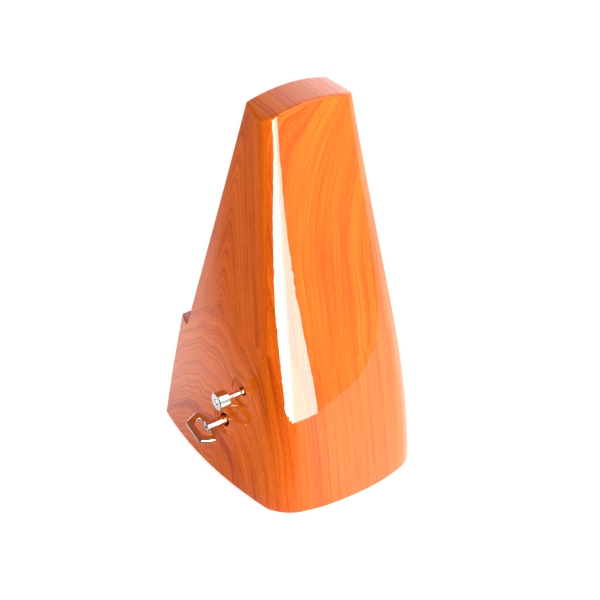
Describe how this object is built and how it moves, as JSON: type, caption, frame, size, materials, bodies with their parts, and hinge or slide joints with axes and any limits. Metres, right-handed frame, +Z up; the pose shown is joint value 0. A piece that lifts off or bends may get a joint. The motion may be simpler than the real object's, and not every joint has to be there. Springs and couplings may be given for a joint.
{
  "type": "metronome",
  "caption": "Pyramid wind-up metronome with domed head, clear front cover, notched pendulum with sliding weight, side winding key and pull-out beat selector.",
  "frame": {"origin": "on the flat underside of the base plate, on the case's centre plane, below the middle of its depth", "axes": "+Z up, -Y is the dial side, +X is the side with the key and the beat selector"},
  "size_m": [0.1224, 0.1149, 0.218],
  "materials": {
    "wood_gloss": "orange-brown wood-grain film under a deep clear gloss",
    "dial_dark": "dark brown satin plastic",
    "scale_silver": "brushed plate with black tempo marks",
    "clear_cover": "clear polished plastic",
    "base_black": "fine-textured dark plastic",
    "pad_rubber": "soft matt rubber",
    "chrome": "bright plated",
    "steel": "plain turned and pressed steel",
    "brass": "turned brass",
    "plate_steel": "zinc-plated sheet steel",
    "bell_nickel": "nickel-plated",
    "bob_iron": "cast iron, thin dark lacquer"
  },
  "bodies": {
    "case": {"case_shell": "wood_gloss", "base_plate": "base_black", "base_pad_1": "pad_rubber", "base_pad_2": "pad_rubber", "base_pad_3": "pad_rubber", "base_pad_4": "pad_rubber", "base_screws": "steel", "dial_panel": "dial_dark", "tempo_scale": "scale_silver", "dial_pins": "brass", "pendulum_catch": "chrome", "front_bearing_arm": "steel", "rear_bearing_arm": "steel", "plate_left": "plate_steel", "plate_right": "plate_steel", "movement_pillars": "brass", "plate_screws": "steel", "movement_brackets": "steel", "bracket_screws": "steel", "escape_cock": "steel", "mainspring": "steel", "spring_post": "steel", "bell": "bell_nickel", "bell_post": "steel", "bell_nut": "steel"},
    "cover": {"front_cover": "clear_cover"},
    "pendulum": {"pendulum_rod": "steel", "pendulum_spacer": "steel", "bob_arm": "steel", "pendulum_bob": "bob_iron", "bob_screw": "steel", "pendulum_arbor": "steel"},
    "tempo_weight": {"tempo_weight": "chrome", "weight_spring": "steel"},
    "key": {"winding_arbor": "steel", "key_stem": "chrome", "key_bow": "chrome", "ratchet_wheel": "steel", "great_washer": "steel"},
    "great": {"great_wheel": "brass", "click_pin": "steel"},
    "click": {"click": "steel"},
    "second": {"second_arbor": "steel", "second_pinion": "steel", "second_wheel": "brass"},
    "escape": {"escape_arbor": "steel", "escape_pinion": "steel", "crown_wheel": "brass"},
    "cams": {"cam_arbor": "steel", "cam_wheel": "brass", "beat_cams": "brass"},
    "selector": {"selector_rod": "chrome", "selector_knob": "chrome", "rod_collars": "steel"},
    "hammer": {"hammer_arm": "steel", "hammer_head": "brass"}
  },
  "joints": [
    {"name": "cover_tip", "type": "hinge", "parent": "case", "child": "cover", "pos_m": [0, -0.04968, 0.07056], "axis": [1, 0, 0], "range_deg": [0, 60]},
    {"name": "pendulum_swing", "type": "hinge", "parent": "case", "child": "pendulum", "pos_m": [0, -0.04489, 0.05461], "axis": [0, 0.9751, -0.2215], "range_deg": [-6.5, 6.5]},
    {"name": "weight_slide", "type": "slide", "parent": "pendulum", "child": "tempo_weight", "axis": [0, 0.2215, 0.9751], "range_m": [-0.033, 0.067]},
    {"name": "key_turn", "type": "hinge", "parent": "case", "child": "key", "pos_m": [0, 0.0044, 0.0368], "axis": [1, 0, 0], "continuous": true},
    {"name": "great_turn", "type": "hinge", "parent": "case", "child": "great", "pos_m": [0, 0.0044, 0.0368], "axis": [1, 0, 0], "continuous": true},
    {"name": "click_lift", "type": "hinge", "parent": "great", "child": "click", "pos_m": [0, 0.00569, 0.02638], "axis": [1, 0, 0], "range_deg": [0, 9], "stiffness_Nm_per_rad": 0.002},
    {"name": "second_turn", "type": "hinge", "parent": "case", "child": "second", "pos_m": [0, -0.0165, 0.03422], "axis": [1, 0, 0], "continuous": true},
    {"name": "escape_turn", "type": "hinge", "parent": "case", "child": "escape", "pos_m": [0, -0.017, 0.04827], "axis": [1, 0, 0], "continuous": true},
    {"name": "cam_turn", "type": "hinge", "parent": "case", "child": "cams", "pos_m": [0, 0.02035, 0.05275], "axis": [1, 0, 0], "continuous": true},
    {"name": "selector_slide", "type": "slide", "parent": "case", "child": "selector", "axis": [1, 0, 0], "range_m": [-0.003, 0.009]},
    {"name": "hammer_lift", "type": "hinge", "parent": "selector", "child": "hammer", "pos_m": [0, 0.0168, 0.0624], "axis": [1, 0, 0], "range_deg": [0, 12]}
  ],
  "couplings": [
    {"joint": "second_turn", "follows": "great_turn", "ratio": -6},
    {"joint": "escape_turn", "follows": "great_turn", "ratio": 36},
    {"joint": "cam_turn", "follows": "great_turn", "ratio": -4}
  ]
}
